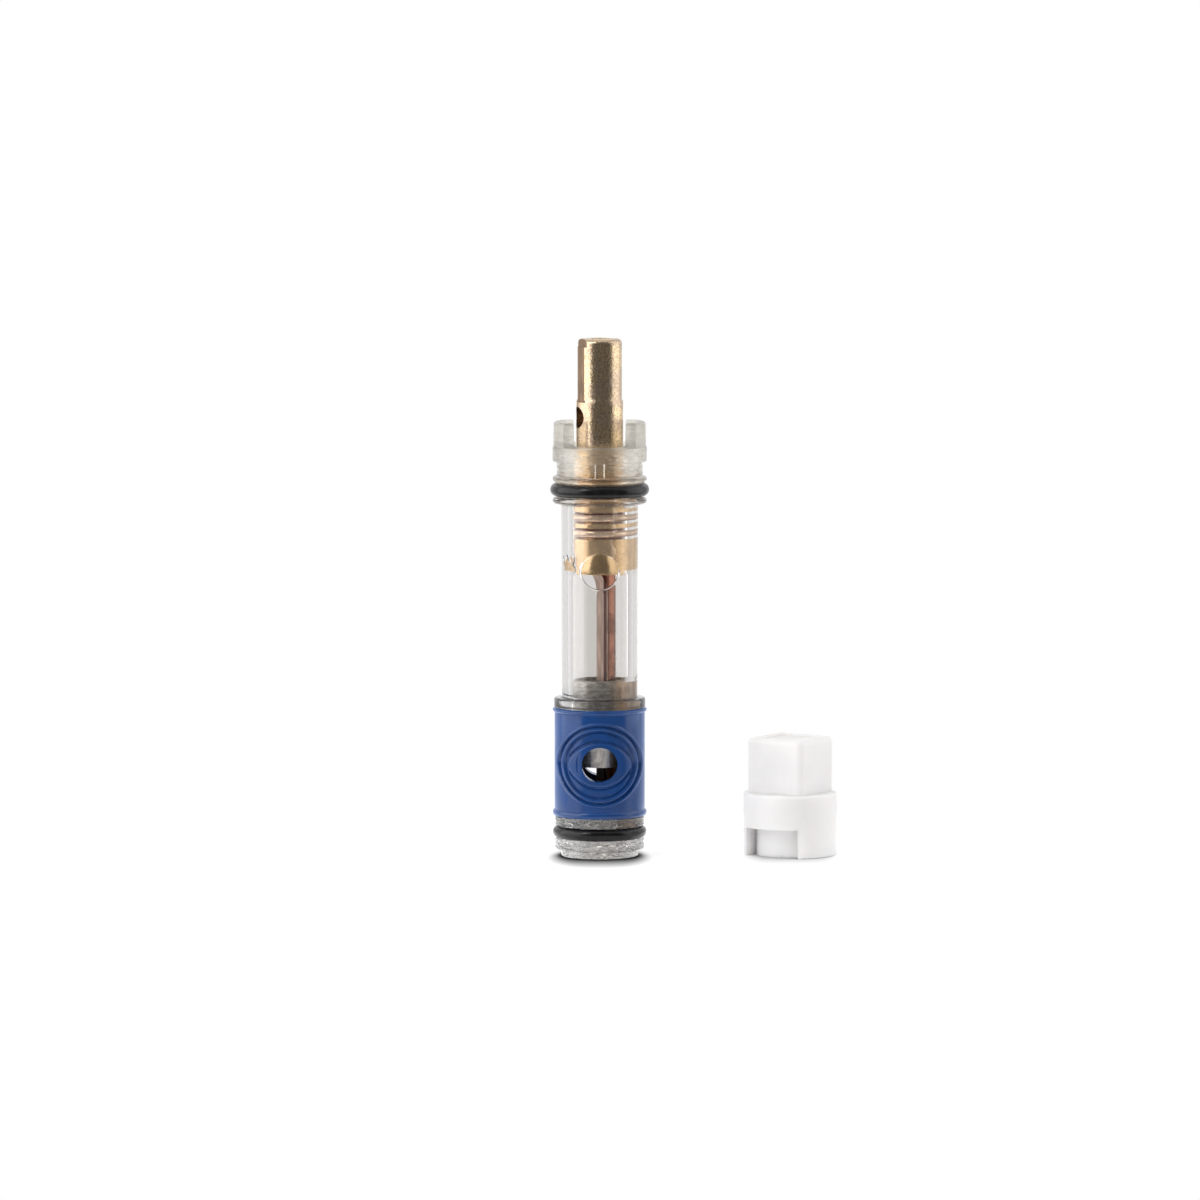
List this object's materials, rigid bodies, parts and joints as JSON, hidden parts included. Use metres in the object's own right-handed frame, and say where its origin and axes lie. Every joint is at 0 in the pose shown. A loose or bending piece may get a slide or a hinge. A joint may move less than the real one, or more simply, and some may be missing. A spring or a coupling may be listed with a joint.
{
  "type": "diverter cartridge",
  "caption": "Lift-and-turn tap cartridge: clear sleeve with ribbed port seal, brass stem and piston, steel spool on a half-round rod, O-rings and a loose white turning cap",
  "frame": {"origin": "centre of the lower face of the cartridge's foot", "axes": "+Z along the stem towards the end that carries the handle; -Y out of the front port and the outlet; +X towards the loose turning cap"},
  "size_m": [0.0576, 0.0213, 0.104],
  "materials": {
    "clear_plastic": "clear, glossy, faintly yellow at the thick upper end",
    "black_rubber": "smooth, lightly greased",
    "blue_rubber": "satin moulded rubber with raised sealing ridges",
    "brass": "turned and lightly tarnished",
    "copper_rod": "drawn bar with a milled flat, copper brown",
    "spool_steel": "matt grey drawn cup",
    "brown_rubber": "greased, red brown behind the clear wall",
    "white_plastic": "milky translucent, satin"
  },
  "bodies": {
    "sleeve_body": {"sleeve": "clear_plastic", "upper_body_o_ring": "black_rubber", "lower_body_o_ring": "black_rubber", "port_seal": "blue_rubber"},
    "piston_rings": {"upper_piston_o_ring": "brown_rubber", "lower_piston_o_ring": "brown_rubber"},
    "stem_body": {"stem": "brass", "connecting_rod": "copper_rod", "spool": "spool_steel"},
    "cap_body": {"turning_cap": "white_plastic"}
  },
  "joints": [
    {"name": "stem_lift", "type": "slide", "parent": "sleeve_body", "child": "piston_rings", "axis": [0, 0, 1], "range_m": [-0.003, 0.0046]},
    {"name": "stem_turn", "type": "hinge", "parent": "piston_rings", "child": "stem_body", "pos_m": [0, 0, 0.0668], "axis": [0, 0, 1], "continuous": true},
    {"name": "cap_lift", "type": "slide", "parent": "sleeve_body", "child": "cap_body", "axis": [0, 0, 1], "range_m": [0, 0.12]}
  ]
}
